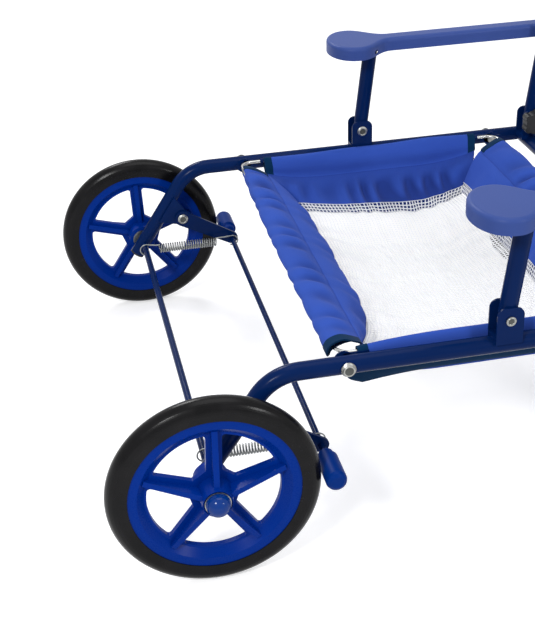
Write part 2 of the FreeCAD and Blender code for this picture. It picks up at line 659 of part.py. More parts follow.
def posts_and_brackets():
    rail_from = Vector(post_x - 2 * bracket_w, rail_half_gap, rail_z)
    tube_below = Part.makeCylinder(tube_r, 4 * bracket_w, rail_from, X)
    saddle = u_bracket(post_x, rail_half_gap, rail_z + tube_r * 0.5).cut(tube_below)
    saddle = saddle.cut(pin_y(rivet_d / 2, post_x, pivot_z, 0, 2 * rail_half_gap))
    half = saddle_half
    rivet = dome_head(post_x, pivot_z, rail_half_gap - half, -1, rivet_head_d, rivet_head_t, rivet_d, 2 * half)
    tail = pin_y(rivet_head_d / 2 - 2, post_x, pivot_z, rail_half_gap + half, rail_half_gap + half + 2)
    rivet = rivet.fuse(tail).removeSplitter()
    foot = Vector(post_x, rail_half_gap, pivot_z)
    up = lean_dir * (post_length + tube_r + end_spare)
    down = lean_dir * (tube_r + end_spare)
    tube = rod(tube_r, foot - down, foot + up).cut(rod(tube_bore_r, foot - down * 2, foot + up * 1.1))
    tube = end_rounded(tube, post_x, pivot_z, 2 * rail_half_gap)
    tube = end_rounded(tube, pin_x, pin_z, 2 * rail_half_gap)
    hole = rivet_d / 2 + run_fit
    tube = tube.cut(pin_y(hole, post_x, pivot_z, 0, 2 * rail_half_gap))
    tube = tube.cut(pin_y(rivet_d / 2, pin_x, pin_z, 0, 2 * rail_half_gap))
    arm_half = tube_r + link_gap + arm_wall
    pin = pin_y(rivet_d / 2, pin_x, pin_z, rail_half_gap - arm_half - 1.5, rail_half_gap + arm_half + 1.5)
    for name, side in sides.items():
        save("post_bracket_" + name, mirrored(saddle, side))
        save("post_" + name, mirrored(tube, side))
        save("armrest_pin_" + name, mirrored(pin, side))
    save("post_rivets", Part.makeCompound([rivet, mirrored(rivet, -1)]))


def arm_outline(inset, z):
    """Paddle outline about the left post's line, as a closed wire at one height."""
    y = rail_half_gap
    pad = arm_pad_half_w - inset
    neck = arm_neck_half_w - inset
    back = pin_x - arm_pad_reach + inset
    nose = link_x + arm_neck_half_w - inset
    shoulder = pin_x - arm_pad_straight
    waist = pin_x + arm_neck_from
    at = lambda x, dy: Vector(x, y + dy, z)
    curve = Part.BezierCurve()
    curve.setPoles([at(shoulder, pad), at(shoulder + 26, pad), at(waist - 24, neck), at(waist, neck)])
    mirror_curve = Part.BezierCurve()
    mirror_curve.setPoles([at(waist, -neck), at(waist - 24, -neck), at(shoulder + 26, -pad), at(shoulder, -pad)])
    rear = Part.BezierCurve()
    rear.setPoles([at(shoulder, -pad), at(back - 4, -pad), at(back - 4, pad), at(shoulder, pad)])
    return Part.Wire([curve.toShape(), Part.makeLine(at(waist, neck), at(nose - neck, neck)),
                      Part.Arc(at(nose - neck, neck), at(nose, 0), at(nose - neck, -neck)).toShape(),
                      Part.makeLine(at(nose - neck, -neck), at(waist, -neck)), mirror_curve.toShape(),
                      rear.toShape()])


def armrests():
    top = pin_z + arm_above_pin
    low = top - arm_t
    body = Part.Face(arm_outline(0, low)).extrude(Z * arm_t)
    rims = [e for e in body.Edges if abs(e.BoundBox.ZMin - top) < 0.01 and abs(e.BoundBox.ZMax - top) < 0.01]
    body = body.makeFillet(arm_edge_r, rims)
    ceiling = pin_z + tube_r + link_gap
    hollow = Part.Face(arm_outline(arm_wall, low - 1)).extrude(Z * (ceiling - low + 1))
    body = body.cut(hollow)
    inside = Part.Face(arm_outline(0.8 * arm_wall, low + arm_rib_up)).extrude(Z * (ceiling - low - arm_rib_up + 0.5))
    cheek_x0, cheek_x1 = pin_x - 14, pin_x + 14
    in_y = tube_r + link_gap
    ears = [block(cheek_x0, cheek_x1, rail_half_gap + y0, rail_half_gap + y1, low + 1, top - 1)
            for y0, y1 in ((in_y, in_y + arm_wall), (-in_y - arm_wall, -in_y))]
    first_rib = pin_x - arm_first_rib
    across = [block(x, x + arm_wall, rail_half_gap - arm_pad_half_w, rail_half_gap + arm_pad_half_w, low, top)
              for x in (first_rib, first_rib - arm_rib_pitch)]
    spine = block(pin_x - arm_pad_reach, first_rib, rail_half_gap - arm_wall / 2, rail_half_gap + arm_wall / 2,
                  low, top)
    ribs = [rib.common(inside) for rib in across + [spine]]
    boss_half = arm_neck_half_w - arm_wall
    boss = pin_y(8.0, link_x, pin_z, rail_half_gap - boss_half, rail_half_gap + boss_half)
    spacer = pin_y(7.0, link_x, pin_z, handle_half_gap + tube_r + side_gap, rail_half_gap - arm_neck_half_w + 1)
    body = fuse([body] + ears + ribs + [boss, spacer])
    body = body.cut(pin_y(rivet_d / 2 + run_fit, pin_x, pin_z, 0, 2 * rail_half_gap))
    body = body.cut(pin_y(rivet_d / 2 + link_gap, link_x, pin_z, 0, 2 * rail_half_gap))
    for name, side in sides.items():
        save("armrest_" + name, mirrored(body, side))


def handle():
    foot = Vector(handle_x, handle_half_gap, pivot_z)
    top = Vector(handle_top_x, handle_half_gap, grip_z)
    flip = lambda v: Vector(v.x, -v.y, v.z)
    start = foot - lean_dir * (tube_r + end_spare)
    points = [start, top, flip(top), flip(start)]
    path = bent_path(points, handle_bend_r)
    tube = swept(path, tube_r).cut(swept(path, tube_bore_r))
    slab_y = 2 * rail_half_gap
    tube = tube.cut(pin_y(rivet_d / 2 + run_fit, handle_x, pivot_z, -slab_y, slab_y))
    tube = tube.cut(pin_y(rivet_d / 2, link_x, pin_z, -slab_y, slab_y))
    save("handle_frame", end_rounded(tube, handle_x, pivot_z, slab_y))
    grip = pin_y(grip_d / 2, handle_top_x, grip_z, -grip_l / 2, grip_l / 2)
    ends = [e for e in grip.Edges if e.Curve.TypeId == "Part::GeomCircle"]
    grip = grip.makeFillet(4.0, ends).cut(pin_y(tube_r, handle_top_x, grip_z, -grip_l, grip_l))
    save("handle_grip", grip)
    nose = rail_half_gap + arm_neck_half_w + side_gap
    bolt = pin_y(rivet_d / 2, link_x, pin_z, handle_half_gap - tube_r, nose)
    head = dome_head(link_x, pin_z, nose, 1, rivet_head_d, rivet_head_t + 1, rivet_d, 1)
    nut = pin_y(nut_r, link_x, pin_z, handle_half_gap - tube_r - nut_t, handle_half_gap - tube_r)
    bolt = fuse([bolt, head, nut])
    knob = clamp_knob()
    for name, side in sides.items():
        save("armrest_bolt_" + name, mirrored(bolt, side))
        save("clamp_knob_" + name, mirrored(knob, side))
        save("handle_bracket_" + name, mirrored(handle_saddle(), side))


def handle_saddle():
    """The handle's brackets sit astride the front cross tube."""
    saddle = u_bracket(handle_x, handle_half_gap, rail_z + tube_r * 0.5)
    saddle = saddle.cut(pin_y(tube_r, handle_x, rail_z, 0, 2 * rail_half_gap))
    return saddle.cut(pin_y(rivet_d / 2 + run_fit, handle_x, pivot_z, 0, 2 * rail_half_gap))


def clamp_knob():
    """Lobed hand knob inboard of the bracket; its stud is the handle's pivot."""
    half = saddle_half
    y1 = handle_half_gap - half - side_gap
    y0 = y1 - knob_t
    hand = pin_y(knob_d / 2 - 4, handle_x, pivot_z, y0, y1)
    for index in range(knob_lobes):
        angle = 2 * math.pi * index / knob_lobes
        reach = knob_d / 2 - 6
        lobe_x, lobe_z = handle_x + reach * math.cos(angle), pivot_z + reach * math.sin(angle)
        hand = hand.fuse(pin_y(6.0, lobe_x, lobe_z, y0, y1))
    stud_end = handle_half_gap + half + side_gap
    stud = pin_y(rivet_d / 2, handle_x, pivot_z, y1 - 1, stud_end)
    nut = pin_y(nut_r, handle_x, pivot_z, stud_end, stud_end + 5)
    return fuse([hand, stud, nut])


os.makedirs("parts", exist_ok=True)
rear_wheels()
side_rails()
cross_tube()
casters()
foot_brake()
ring_clips()
basket()
posts_and_brackets()
armrests()
handle()
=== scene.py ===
import math

import bpy
import numpy as np
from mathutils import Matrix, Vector, noise


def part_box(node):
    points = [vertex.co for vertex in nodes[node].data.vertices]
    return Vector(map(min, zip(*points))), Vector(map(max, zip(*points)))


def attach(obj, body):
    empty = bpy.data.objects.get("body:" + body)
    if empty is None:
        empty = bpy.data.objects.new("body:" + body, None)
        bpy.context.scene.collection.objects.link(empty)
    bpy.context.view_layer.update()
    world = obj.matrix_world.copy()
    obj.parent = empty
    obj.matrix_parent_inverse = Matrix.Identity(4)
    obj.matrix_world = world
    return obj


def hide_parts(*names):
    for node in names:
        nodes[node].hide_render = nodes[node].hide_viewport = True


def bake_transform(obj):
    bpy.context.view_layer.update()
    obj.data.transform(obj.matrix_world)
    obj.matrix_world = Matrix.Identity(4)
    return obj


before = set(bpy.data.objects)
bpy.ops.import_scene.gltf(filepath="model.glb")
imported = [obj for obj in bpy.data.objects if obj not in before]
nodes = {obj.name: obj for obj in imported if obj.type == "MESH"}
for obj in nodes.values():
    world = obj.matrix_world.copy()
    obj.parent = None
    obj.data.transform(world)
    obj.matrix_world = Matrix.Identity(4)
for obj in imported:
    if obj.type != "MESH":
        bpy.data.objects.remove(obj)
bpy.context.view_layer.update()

bpy.ops.object.select_all(action="DESELECT")
mm = 0.001


# ==== the studio: a pale floor, soft lamps and the camera ====
# The floor and the room read white to the camera and in gloss, and light the cart only a little,
# so its colours stay as they are. The floor keeps the cart's soft shadow.
def srgb(red, green, blue):
    """A colour given as 0 to 255 screen values, as the linear values that a shader takes."""
    parts = [c / 255 for c in (red, green, blue)]
    return tuple(c / 12.92 if c <= 0.04045 else ((c + 0.055) / 1.055) ** 2.4 for c in parts) + (1.0,)


class Socket:
    """An output of a shader node. Arithmetic on it adds Math nodes to its own material."""

    def __init__(self, finish, output):
        self.finish, self.output = finish, output

    def __getitem__(self, name):
        return Socket(self.finish, self.output.node.outputs[name])

    def math(self, operation, *terms):
        return self.finish.node("Math", {"operation": operation}, self, *terms)

    def __add__(self, other):
        return self.math("ADD", other)

    def __sub__(self, other):
        return self.math("SUBTRACT", other)

    def __rsub__(self, other):
        return self.finish.node("Math", {"operation": "SUBTRACT"}, other, self)

    def __mul__(self, other):
        return self.math("MULTIPLY", other)

    def __gt__(self, other):
        return self.math("GREATER_THAN", other)


class Finish:
    """A material being built: constants go on its shader's sockets, and node() adds any node."""

    def __init__(self, name, tree=None, **constants):
        if tree is None:
            self.material = bpy.data.materials.new(name)
            self.material.use_nodes = True
            tree = self.material.node_tree
        self.tree = tree
        self.shader = tree.nodes.get("Principled BSDF")
        for socket, value in constants.items():
            self.shader.inputs[socket.replace("_", " ")].default_value = value

    def node(self, kind, settings, *values, **named):
        """Adds a node; values go to its inputs in order, and named ones to the input of that name."""
        node = self.tree.nodes.new("ShaderNode" + kind)
        for key, setting in settings.items():
            if key == "stops":
                for place, colour in setting[2:]:
                    node.color_ramp.elements.new(place)
                for element, (place, colour) in zip(node.color_ramp.elements, setting):
                    element.position, element.color = place, colour
            else:
                setattr(node, key, setting)
        fed = list(enumerate(values)) + [(name.replace("_", " "), value) for name, value in named.items()]
        for name, value in fed:
            socket = node.inputs[name] if isinstance(name, int) else next(
                s for s in node.inputs if s.name == name and s.enabled)
            if isinstance(value, Socket):
                self.tree.links.new(value.output, socket)
            else:
                socket.default_value = value
        return Socket(self, next(s for s in node.outputs if s.enabled))

    def connect(self, **links):
        """Feeds the main shader, for example connect(Roughness=worn)."""
        for socket, value in links.items():
            self.tree.links.new(value.output, self.shader.inputs[socket.replace("_", " ")])
        return self

    def put_on(self, *objects):
        for obj in objects:
            obj.data.materials.clear()
            obj.data.materials.append(self.material)


def room_rays(finish):
    """1 for rays that show the room itself, 0 for the ones that light the cart."""
    path = finish.node("LightPath", {})
    seen = path["Is Camera Ray"] + path["Is Glossy Ray"] + path["Is Transmission Ray"]
    return seen.math("MINIMUM", 1.0)


floor_size = 30.0
floor_glow = 0.5       # lifts the floor to white where it is seen
room_light = 0.38      # the room's strength on the cart; where it is seen its strength is 1
bpy.ops.mesh.primitive_plane_add(size=floor_size)
floor = bpy.context.object
floor.name = "studio_floor"
floor_finish = Finish("studio_floor", Base_Color=srgb(225, 225, 226), Roughness=0.9,
                      Specular_IOR_Level=0.05, Emission_Color=(1.0, 1.0, 1.0, 1.0))
floor_finish.connect(Emission_Strength=room_rays(floor_finish) * floor_glow)
floor_finish.put_on(floor)

world = bpy.data.worlds.new("studio")
bpy.context.scene.world = world
world.use_nodes = True
room = Finish("studio", world.node_tree)
background = world.node_tree.nodes["Background"]
background.inputs["Color"].default_value = (1.0, 1.0, 1.0, 1.0)
room_level = room_rays(room) * (1 - room_light) + room_light
room.tree.links.new(room_level.output, background.inputs["Strength"])

aim = Vector((-0.05, 0.0, 0.25))
for name, place, size, power in (
        ("key_lamp", (-1.7, -2.1, 2.2), 0.5, 50.0),
        ("side_lamp", (1.6, -2.2, 1.5), 0.4, 22.0),
        ("back_lamp", (-0.8, 2.3, 2.2), 0.8, 30.0),
        ("top_lamp", (0.2, 0.0, 3.0), 2.0, 26.0)):
    bpy.ops.object.light_add(type="AREA", location=place)
    lamp = bpy.context.object
    lamp.name = name
    lamp.data.size = size
    lamp.data.energy = power
    lamp.rotation_euler = (aim - Vector(place)).to_track_quat("-Z", "Y").to_euler()

camera_turn = (60.488, 1.767, -11.944)
bpy.ops.object.camera_add(location=(-0.4582, -1.4865, 0.9984),
                          rotation=[math.radians(degrees) for degrees in camera_turn])
camera = bpy.context.object
camera.data.lens = 70.04
camera.data.sensor_width = 36.0
bpy.context.scene.camera = camera
bpy.context.scene.view_settings.view_transform = "Standard"


# ==== painted steel: rails, axle, posts, brackets and brake levers ====
# Bent 22 mm tube and stamped plate, powder coated in a dark navy gloss. The coat has a faint orange
# peel, and is a touch duller and paler where hands and cloth rub it.
def painted_steel(name, colour, roughness):
    paint = Finish(name, Base_Color=colour, Roughness=roughness, Specular_IOR_Level=0.055)
    place = paint.node("TexCoord", {})["Object"]
    peel = paint.node("TexNoise", {}, Vector=place, Scale=380.0, Detail=1.0)
    rub = paint.node("TexNoise", {}, Vector=place, Scale=11.0, Detail=5.0)
    rubbed = tuple(c * 1.5 + 0.004 for c in colour[:3]) + (1.0,)
    shade = paint.node("Mix", {"data_type": "RGBA"}, Factor=rub * 0.5, A=colour, B=rubbed)
    bump = paint.node("Bump", {}, Strength=0.1, Distance=0.3 * mm, Height=peel)
    return paint.connect(Base_Color=shade, Roughness=rub * 0.16 + (roughness - 0.08), Normal=bump)


both = ("left", "right")
frame_paint = painted_steel("frame_paint", srgb(0, 27, 74), 0.22)
painted = ["front_cross_tube", "rear_axle", "brake_rod", "handle_frame"]
for stem in ("side_rail", "post", "post_bracket", "handle_bracket", "brake_bracket", "brake_lever",
             "caster_fork"):
    painted += [stem + "_" + side for side in both]
frame_paint.put_on(*[nodes[name] for name in painted])


# ==== bright plating: rivets, bolts, washers, caster axles and the basket's wire ring ====
# Zinc-plated steel fasteners, and a ring of brighter plated wire that carries the basket. The plating
# is cloudy, a little darker and rougher in patches.
def plated(name, colour, roughness):
    plate = Finish(name, Base_Color=colour, Metallic=1.0, Roughness=roughness)
    place = plate.node("TexCoord", {})["Object"]
    cloud = plate.node("TexNoise", {}, Vector=place, Scale=260.0, Detail=4.0)
    darker = tuple(c * 0.55 for c in colour[:3]) + (1.0,)
    tone = plate.node("Mix", {"data_type": "RGBA"}, Factor=cloud, A=darker, B=colour)
    bump = plate.node("Bump", {}, Strength=0.15, Distance=0.2 * mm, Height=cloud)
    return plate.connect(Base_Color=tone, Roughness=cloud * 0.25 + (roughness - 0.1), Normal=bump)


zinc = plated("zinc_plate", srgb(176, 177, 173), 0.34)
zinc.put_on(nodes["axle_washers"], nodes["brake_rivets"], nodes["rail_bolts"], nodes["post_rivets"])
for stem in ("armrest_bolt", "armrest_pin", "caster_axle"):
    zinc.put_on(*[nodes[stem + "_" + side] for side in both])
chrome = plated("bright_wire", srgb(205, 206, 204), 0.18)
chrome.put_on(nodes["basket_ring"])


# ==== wheels ====
# Solid black tyres, pressed on five-spoke rims that are moulded in royal blue. Fine mould rings run
# round a tyre's outer part, where it meets the ground.
mould_ring_pitch = 4.2 * mm


def tyre_rubber(name, centre, crown_from):
    rubber = Finish(name, Base_Color=srgb(24, 24, 26), Roughness=0.3, Specular_IOR_Level=0.13)
    place = rubber.node("TexCoord", {})["Object"]
    from_axle = rubber.node("Mapping", {}, Vector=place, Location=tuple(-c for c in centre))
    dust = rubber.node("TexNoise", {}, Vector=place, Scale=36.0, Detail=6.0)
    grain = rubber.node("TexNoise", {}, Vector=place, Scale=900.0, Detail=1.0)
    axis = rubber.node("SeparateXYZ", {}, Vector=from_axle)
    radius = (axis["X"] * axis["X"] + axis["Z"] * axis["Z"]).math("SQRT")
    lines = (radius * (2 * math.pi / mould_ring_pitch)).math("SINE").math("MAXIMUM", 0.2)
    height = lines * (radius > crown_from) * 1.2 + grain * 0.35
    bump = rubber.node("Bump", {}, Strength=0.3, Distance=0.25 * mm, Height=height)
    tone = rubber.node("ValToRGB", {"stops": ((0.35, srgb(9, 9, 11)), (0.8, srgb(20, 19, 21)))},
                       Fac=dust)
    return rubber.connect(Base_Color=tone, Roughness=dust * 0.14 + 0.18, Normal=bump)


def moulded(name, colour, roughness, specular, grain_scale=700.0, grain_depth=0.1):
    plastic = Finish(name, Base_Color=colour, Roughness=roughness, Specular_IOR_Level=specular)
    place = plastic.node("TexCoord", {})["Object"]
    cloud = plastic.node("TexNoise", {}, Vector=place, Scale=9.0, Detail=3.0)
    grain = plastic.node("TexNoise", {}, Vector=place, Scale=grain_scale, Detail=2.0)
    deeper = tuple(c * 0.82 for c in colour[:3]) + (1.0,)
    tone = plastic.node("Mix", {"data_type": "RGBA"}, Factor=cloud, A=deeper, B=colour)
    bump = plastic.node("Bump", {}, Strength=0.25, Distance=grain_depth * mm, Height=grain)
    return plastic.connect(Base_Color=tone, Roughness=grain * 0.12 + (roughness - 0.06), Normal=bump)


rim_plastic = moulded("rim_plastic", srgb(0, 46, 138), 0.28, 0.05)
for wheel in ("rear", "caster"):
    for side in both:
        tyre = nodes["tyre_rear_" + side if wheel == "rear" else "caster_tyre_" + side]
        low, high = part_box(tyre.name)
        crown_from = (high.z - low.z) / 2 - 0.6 * (high.y - low.y)
        tyre_rubber(tyre.name + "_rubber", (low + high) / 2, crown_from).put_on(tyre)
        rim_plastic.put_on(nodes["rim_rear_" + side if wheel == "rear" else "caster_rim_" + side])


# ==== black plastic: tube plugs, caster sockets and clamp knobs ====
# Small injection moulded nylon parts in satin black. The plugs close the legs' lower ends, the sockets
# hold the casters' stems, and the knobs clamp the handle in its brackets.
black_plastic = moulded("black_plastic", srgb(34, 34, 37), 0.42, 0.25, 500.0, 0.15)
black_plastic.put_on(nodes["leg_end_plugs"])
for stem in ("caster_socket", "clamp_knob"):
    black_plastic.put_on(*[nodes[stem + "_" + side] for side in both])


# ==== foot brake ====
# Pressing the cross rod swings both levers over centre, and the blue rollers grip the tyres. A long
# tension spring on each side, hooked round the axle and the rod, holds the levers either way.
roller_plastic = moulded("roller_plastic", srgb(2, 46, 124), 0.4, 0.05, 420.0, 0.2)
roller_plastic.put_on(*[nodes["brake_roller_" + side] for side in both])
spring_steel = plated("spring_wire", srgb(158, 161, 160), 0.3)
axle_low, axle_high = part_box("rear_axle")
rod_low, rod_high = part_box("brake_rod")
axle_at, rod_at = (axle_low + axle_high) / 2, (rod_low + rod_high) / 2
spring_wire_r = 1.1 * mm
wire_sides = 8
coil_r = 6.3 * mm
coil_length = 92 * mm
coil_turns = 25
steps_a_turn = 14
coil_toward_axle = 3 * mm      # the coil isn't midway between the axle and the rod
neck = 6 * mm                  # straight wire between the coil and the hook's bend
neck_in_coil = 0.5 * mm
hook_slack = 3.0 * mm          # the hooks are wound this much wider than the rods they hold
hook_turn = math.radians(215)
hook_steps = 12


def wire_ring(place, turned):
    """The wire's round section, ready to be drawn out in edit mode."""
    bpy.ops.mesh.primitive_circle_add(vertices=wire_sides, radius=spring_wire_r, location=place,
                                      rotation=turned)
    piece = bpy.context.object
    bpy.ops.object.mode_set(mode="EDIT")
    bpy.ops.mesh.select_all(action="SELECT")
    return piece


def closed_wire(piece):
    """Close the wire's ends, point its faces outward and put its place in the mesh."""
    bpy.ops.object.mode_set(mode="EDIT")
    bpy.ops.mesh.select_all(action="SELECT")
    bpy.ops.mesh.fill_holes(sides=wire_sides)
    bpy.ops.mesh.normals_make_consistent(inside=False)
    bpy.ops.object.mode_set(mode="OBJECT")
    bpy.ops.object.transform_apply(location=True, rotation=True, scale=True)
    return piece


def wind_spring(name, y):
    """A coil wound by a screw, with a hook spun round the axle at one end, and round the rod at the other."""
    coil_from = (axle_at.x + rod_at.x - coil_length) / 2 - coil_toward_axle
    coil_to = coil_from + coil_length
    level = axle_at.z
    coil = wire_ring((coil_from, y, level), (math.pi / 2, 0, 0))
    bpy.ops.transform.translate(value=(0, 0, coil_r))
    bpy.ops.object.mode_set(mode="OBJECT")
    screw = coil.modifiers.new("wound", "SCREW")
    screw.axis, screw.angle, screw.screw_offset = "X", -2 * math.pi, coil_length / coil_turns
    screw.iterations, screw.steps, screw.render_steps = coil_turns, steps_a_turn, steps_a_turn
    screw.use_merge_vertices = False
    bpy.ops.object.modifier_apply(modifier=screw.name)
    closed_wire(coil)
    hooks = []
    for held, coil_end, rod_radius, way in ((axle_at, coil_from, (axle_high.z - axle_low.z) / 2, -1),
                                            (rod_at, coil_to, (rod_high.z - rod_low.z) / 2, 1)):
        hook = wire_ring((coil_end - way * neck_in_coil, y, level + coil_r), (0, math.pi / 2, 0))
        bpy.ops.mesh.extrude_region_move(TRANSFORM_OT_translate={"value": (way * neck, 0, 0)})
        hook_r = rod_radius + spring_wire_r + hook_slack
        reach, rise = held.x - coil_end - way * neck, hook_r - coil_r + held.z - level
        bpy.ops.mesh.extrude_region_move(TRANSFORM_OT_translate={"value": (reach, 0, rise)})
        bpy.ops.mesh.spin(steps=hook_steps, angle=-way * hook_turn,
                          center=held + Vector((0, y - held.y, 0)), axis=(0, 1, 0))
        bpy.ops.object.mode_set(mode="OBJECT")
        hooks.append(closed_wire(hook))
    bpy.ops.object.select_all(action="DESELECT")
    for piece in hooks + [coil]:
        piece.select_set(True)
    bpy.context.view_layer.objects.active = coil
    bpy.ops.object.join()
    bpy.ops.object.shade_smooth_by_angle(angle=math.radians(50))
    coil.name = name
    bpy.ops.object.select_all(action="DESELECT")
    return coil


for side in both:
    cad_low, cad_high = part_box("brake_spring_" + side)
    spring = wind_spring("coil_spring_" + side, (cad_low.y + cad_high.y) / 2)
    spring_steel.put_on(spring)
    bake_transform(spring)
    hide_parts("brake_spring_" + side)


# ==== basket cloth: the sewn border ====
# Four panels of royal blue woven polyester. Each is folded over one wire of the ring and stitched to
# itself as a loose sleeve, then leans in and down to the net. Teal tape binds the sleeves' ends, and the
# cloth is navy from the net's edge down to the hems. Shade is painted into the cloth as a darker navy
# in its folds, and below the seams of the two long sides.
ring_low, ring_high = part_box("basket_ring")
bolt_low, bolt_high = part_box("rail_bolts")
rail_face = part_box("ring_clips")[1].y       # the clips lie flat on the rails' inner sides
wire_in_from_rail = 5.4 * mm                # to the middle of the long wires
wire_in_from_bolt = 2.5 * mm                # from a bolt's outermost edge to the middle of a short wire
ring_z = (ring_high.z + ring_low.z) / 2
ring_half_w = rail_face - wire_in_from_rail
ring_rear, ring_front = bolt_low.x + wire_in_from_bolt, bolt_high.x - wire_in_from_bolt
ring_length = ring_front - ring_rear
seam_at, hem_at = 8, 11       # places along a panel's profile, from its hidden turning to its lower hem
cloth_t = 0.8 * mm
corner_reach = 95.0           # millimetres of a panel's end that its corner's shape reaches
seam_pull = 1.2               # millimetres that the stitches draw the seam back or down
seam_spread = 0.13            # how far along the profile that shows

# A profile runs from the hidden turning, out under the wire, over its top to the seam, and down to the
# hem. Each place is (inward from the wire, up from the wire), in millimetres.
end_profile = ((36, -10), (20, -12), (4, -10), (-7, -6), (-9, -0.5), (-4, 4.5), (9, 6.5), (24, 2.5), (37, -7),
               (58, -18), (78, -37), (84, -62))
left_profile = ((12, -33), (7, -27), (1, -15), (-2.8, -4), (-2.8, 1.5), (1.5, 3.8), (7, 1), (11.5, -12),
                (14, -30), (35, -42), (56, -54), (76, -65))
right_profile = ((10, -43), (5, -37), (-1, -22), (-3.2, -6), (-3, 4), (0.5, 10), (6, 5), (9, -18),
                 (11, -44), (34, -48), (55, -54), (76, -62))

# At a corner each place is (along from the ring's corner, inward, up). Two panels share each mitre, from
# their seams to the hem, so the neighbour's mitre has its first two values the other way round.
mitre = ((40, 52, -24), (55, 68, -44), (66, 80, -62))
drawn_mitre = ((42, 42, -17), (58, 44, -30), (78, 47, -46))
end_corner = ((34, 34, -17), (30, 20, -18), (22, 6, -14), (18, -2, -8), (19, -4, -2), (23, 1, 4), (29, 10, 5),
              (31, 22, 0), (31, 36, -10)) + mitre
open_corner = ((50, 36, -15), (48, 20, -16), (36, 4, -15), (16, -6, -11), (13, -9, -4), (13.5, -3, 5),
               (14.5, 11, 9), (16, 25, 4), (27, 38, -7)) + drawn_mitre
side_corner = ((40, 13, -32), (40, 7, -26), (39, 1, -15), (38, -3, -5), (38, -3, 2), (38, 0.5, 5), (38, 5, 2),
               (39, 10, -7), (40, 14.5, -17))
drawn_corner = ((34, 10, -50), (16, 6, -39), (14, 1, -22), (22, -3, -6), (25, -3, 1), (25, 1, 4), (25, 6, 1),
                (27, 10, -12), (32, 15, -24))


def turned_over(corner_line):
    """A mitre as the neighbouring panel sees it."""
    return tuple((inward, along, up) for along, inward, up in corner_line)


def along_profile(places, at):
    """Smooth values at the given places of a profile (a Catmull-Rom curve through its points)."""
    points = np.array(places, float)
    points = np.vstack([2 * points[0] - points[1], points, 2 * points[-1] - points[-2]])
    span = np.clip(np.floor(at).astype(int), 0, len(places) - 2)
    part = (at - span)[:, None]
    before, here, there, beyond = (points[span + k] for k in range(4))
    return 0.5 * (2 * here + (there - before) * part
                  + (2 * before - 5 * here + 4 * there - beyond) * part ** 2
                  + (3 * here - before - 3 * there + beyond) * part ** 3)


def ease(value):
    """0 below 0, 1 above 1, and smooth between."""
    value = np.clip(value, 0, 1)
    return value * value * (3 - 2 * value)


def bump_at(place, centre, width):
    """1 at centre, and fading to 0 on both sides of it."""
    return np.exp(-((place - centre) / width) ** 2)


def waves(run, across, seed, scale):
    """Smooth uneven waves between about -1 and 1."""
    values = [noise.noise(Vector((r / scale, a * 0.35, seed))) for r, a in zip(run.ravel(), across.ravel())]
    return np.array(values).reshape(run.shape) * 1.8


class Panel:
    """One side of the border, in its own axes: along the wire, inward, and up.

    It has profile in its middle, and the corner lines first and last at its ends. folds adds its wrinkles.
    """

    def __init__(self, corner, along, inward, length, profile, first, last, folds):
        self.corner, self.along, self.inward = (np.array(axis, float) for axis in (corner, along, inward))
        self.length, self.profile, self.folds = length / mm, profile, folds
        self.first, self.last = first, last

    def points(self, shares, places, folded=True):
        """A grid of points: one row for each share of the length, one column for each profile place."""
        middle = along_profile(self.profile, places)
        first, last = along_profile(self.first, places), along_profile(self.last, places)
        start, stop = first[:, 0], self.length - last[:, 0]
        run = start + (stop - start) * shares[:, None]
        near_first = np.clip(1 - (run - start) / corner_reach, 0, 1) ** 2
        near_last = np.clip(1 - (stop - run) / corner_reach, 0, 1) ** 2
        shape = middle[None] + near_first[..., None] * (first[:, 1:] - middle)[None] \
            + near_last[..., None] * (last[:, 1:] - middle)[None]
        inward, up = shape[..., 0], shape[..., 1]
        if folded:
            inward, up = self.folds(run, places[None] + 0 * run, inward, up, near_first, near_last)
        flat = (self.corner[None, None] + run[..., None] * mm * self.along
                + inward[..., None] * mm * self.inward)
        flat[..., 2] += up * mm
        return flat

    def sunk(self, shares, places):
        """How far the folds lie below the smooth cloth, in millimetres, which sets their painted shade."""
        smooth, folded = (self.points(shares, places, kept)[..., 2] for kept in (False, True))
        return np.clip((smooth - folded) / mm, 0, 9)


def end_folds(seed, tight_last):
    """Loose sleeve over a short wire: slanting wrinkles that scallop its outer edge.

    tight_last is how far the last end's sleeve is drawn in against the wire.
    """
    wrinkle_pitch, wrinkle_slant = 47.0, 0.05
    scallop, wrinkle_swell, wrinkle_hollow = 2.2, 2.4, 5.0

    def fold(run, place, inward, up, near_first, near_last):
        free = 1 - 0.75 * np.maximum(near_first, near_last)
        depth = 0.6 + 0.55 * waves(run, 0 * run, seed + 20, 75.0)
        drift = 0.8 * waves(run, 0 * run, seed, 110.0)
        phase = run / wrinkle_pitch + place * wrinkle_slant + drift
        ridge = (2 * np.abs(np.sin(math.pi * phase)) ** 0.9 - 1) * depth
        swell = -np.cos(2 * math.pi * phase) * depth
        slow = waves(run, place, seed + 7, 48.0)
        sway = waves(run, 0 * run, seed + 31, 85.0)
        outer, top = bump_at(place, 3.9, 1.1), bump_at(place, 5.8, 1.3)
        seam = bump_at(place, seam_at, seam_spread)
        skirt, edge = ease((place - 8.1) / 1.6), ease((place - 9.6) / 1.4)
        drawn = 4.5 * tight_last * ease((run - 330) / 180.0)
        slimmer = 10.0 * ease((220 - run) / 170.0) * (1 - near_first)
        deeper = 0.6 + 0.5 * np.clip(run / 560.0, 0, 1)
        hollow = np.clip(0.35 - swell, 0, 1.4) * bump_at(place, 6.9, 1.0) * deeper
        inward = inward + outer * (drawn - free * scallop * ridge) \
            + free * (skirt * (1.8 * slow + 1.4 * ridge) + edge * 3.5 * sway) - skirt * slimmer
        up = up + free * (top * (wrinkle_swell * swell + 0.8 * slow) + skirt * (1.4 * slow + 1.6 * swell)
                          - wrinkle_hollow * hollow) - seam * seam_pull
        return inward, up
    return fold


